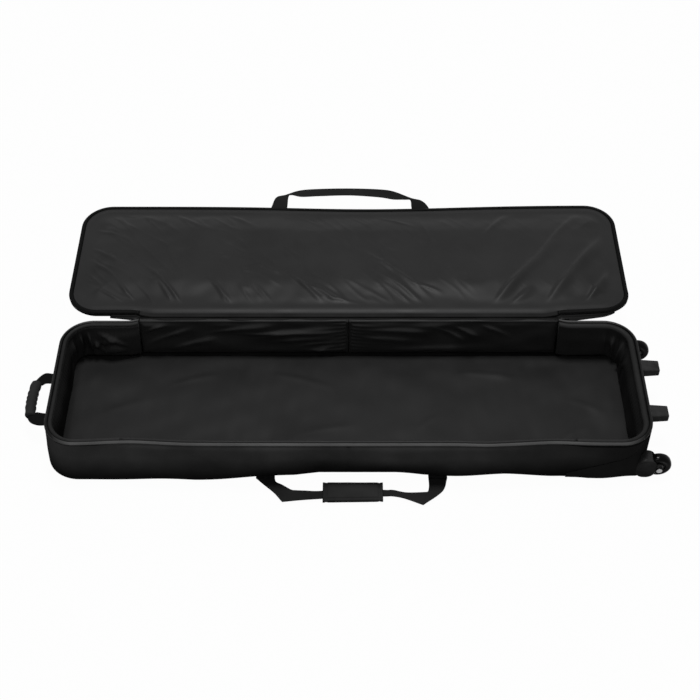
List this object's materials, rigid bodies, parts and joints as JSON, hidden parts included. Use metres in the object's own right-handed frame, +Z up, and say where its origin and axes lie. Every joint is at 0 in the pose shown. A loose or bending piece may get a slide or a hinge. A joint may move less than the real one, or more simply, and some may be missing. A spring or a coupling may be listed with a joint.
{
  "type": "wheeled board bag",
  "caption": "Long padded wheeled gear bag lying open, lid folded back level behind a shallow tray, with webbing handles, end wheels and stand feet.",
  "frame": {"origin": "centre of the tray's flat bottom face", "axes": "+X along the bag towards the wheels, +Y from the front wall towards the lid hinge, +Z up"},
  "size_m": [1.5868, 1.0062, 0.1442],
  "materials": {
    "lining_cloth": "satin",
    "cover_cloth": "matte",
    "webbing": "matte",
    "zip_nylon": "satin",
    "black_plastic": "satin",
    "board_plastic": "matte",
    "foam": "matte",
    "tyre": "gloss",
    "steel": "satin"
  },
  "bodies": {
    "tray": {"back_wall_panel_left": "lining_cloth", "back_wall_panel_right": "lining_cloth", "floor_pad": "lining_cloth", "front_wall_pad": "lining_cloth", "left_end_pad": "lining_cloth", "right_end_pad": "lining_cloth", "tray_hinge_strip": "lining_cloth", "end_handle_patch": "cover_cloth", "tray_outer_cover": "cover_cloth", "tray_rim_binding": "cover_cloth", "wheel_end_guard": "cover_cloth", "front_end_handle_tab": "webbing", "rear_end_handle_tab": "webbing", "tray_handle_anchor_left": "webbing", "tray_handle_anchor_right": "webbing", "tray_zip_coil": "zip_nylon", "tray_zip_tape": "zip_nylon", "front_stand_foot": "black_plastic", "front_wheel_housing": "black_plastic", "rear_stand_foot": "black_plastic", "rear_wheel_housing": "black_plastic", "bottom_board": "board_plastic", "end_backing_plate": "board_plastic", "front_axle_bolt": "steel", "front_axle_nut": "steel", "front_foot_nut": "steel", "front_foot_screw": "steel", "rear_axle_bolt": "steel", "rear_axle_nut": "steel", "rear_foot_nut": "steel", "rear_foot_screw": "steel"},
    "lid": {"lid_hinge_strip": "lining_cloth", "lid_lining_panel": "lining_cloth", "lid_outer_cover": "cover_cloth", "lid_rim_binding": "cover_cloth", "lid_handle_anchor_left": "webbing", "lid_handle_anchor_right": "webbing", "lid_zip_coil": "zip_nylon", "lid_zip_tape": "zip_nylon", "lid_foam_panel": "foam"},
    "lid_handle": {"lid_handle_webbing": "webbing"},
    "tray_handle": {"tray_handle_webbing": "webbing", "handle_grip_wrap": "cover_cloth"},
    "end_handle": {"end_handle_strap": "webbing", "end_handle_grip": "black_plastic"},
    "front_wheel": {"front_tyre": "tyre", "front_wheel_core": "black_plastic", "front_wheel_bearing_left": "steel", "front_wheel_bearing_right": "steel", "front_bearing_spacer": "steel"},
    "rear_wheel": {"rear_tyre": "tyre", "rear_wheel_core": "black_plastic", "rear_wheel_bearing_left": "steel", "rear_wheel_bearing_right": "steel", "rear_bearing_spacer": "steel"},
    "left_slider": {"left_zip_slider": "steel"},
    "left_pull": {"left_zip_pull": "steel"},
    "right_slider": {"right_zip_slider": "steel"},
    "right_pull": {"right_zip_pull": "steel"}
  },
  "joints": [
    {"name": "lid_hinge", "type": "hinge", "parent": "tray", "child": "lid", "pos_m": [0, 0.218, 0.13], "axis": [1, 0, 0], "range_deg": [0, 180]},
    {"name": "lid_handle_swing", "type": "hinge", "parent": "lid", "child": "lid_handle", "pos_m": [0, 0.643, 0.1049], "axis": [1, 0, 0], "range_deg": [-95, 30]},
    {"name": "tray_handle_swing", "type": "hinge", "parent": "tray", "child": "tray_handle", "pos_m": [0, -0.207, 0.0011], "axis": [-1, 0, 0], "range_deg": [0, 65]},
    {"name": "end_handle_swing", "type": "hinge", "parent": "tray", "child": "end_handle", "pos_m": [-0.7353, 0, 0.058], "axis": [0, 1, 0], "range_deg": [-45, 70]},
    {"name": "front_wheel_spin", "type": "hinge", "parent": "tray", "child": "front_wheel", "pos_m": [0.7505, -0.188, 0.032], "axis": [0, 1, 0], "continuous": true},
    {"name": "rear_wheel_spin", "type": "hinge", "parent": "tray", "child": "rear_wheel", "pos_m": [0.7505, 0.188, 0.032], "axis": [0, 1, 0], "continuous": true},
    {"name": "left_slider_run", "type": "slide", "parent": "tray", "child": "left_slider", "axis": [-1, 0, 0], "range_m": [0, 0.085]},
    {"name": "right_slider_run", "type": "slide", "parent": "tray", "child": "right_slider", "axis": [1, 0, 0], "range_m": [0, 0.085]},
    {"name": "left_pull_swing", "type": "hinge", "parent": "left_slider", "child": "left_pull", "pos_m": [-0.5473, 0.2117, 0.1254], "axis": [0, 0, -1], "range_deg": [0, 40]},
    {"name": "right_pull_swing", "type": "hinge", "parent": "right_slider", "child": "right_pull", "pos_m": [0.5473, 0.2117, 0.1254], "axis": [0, 0, 1], "range_deg": [0, 40]}
  ]
}
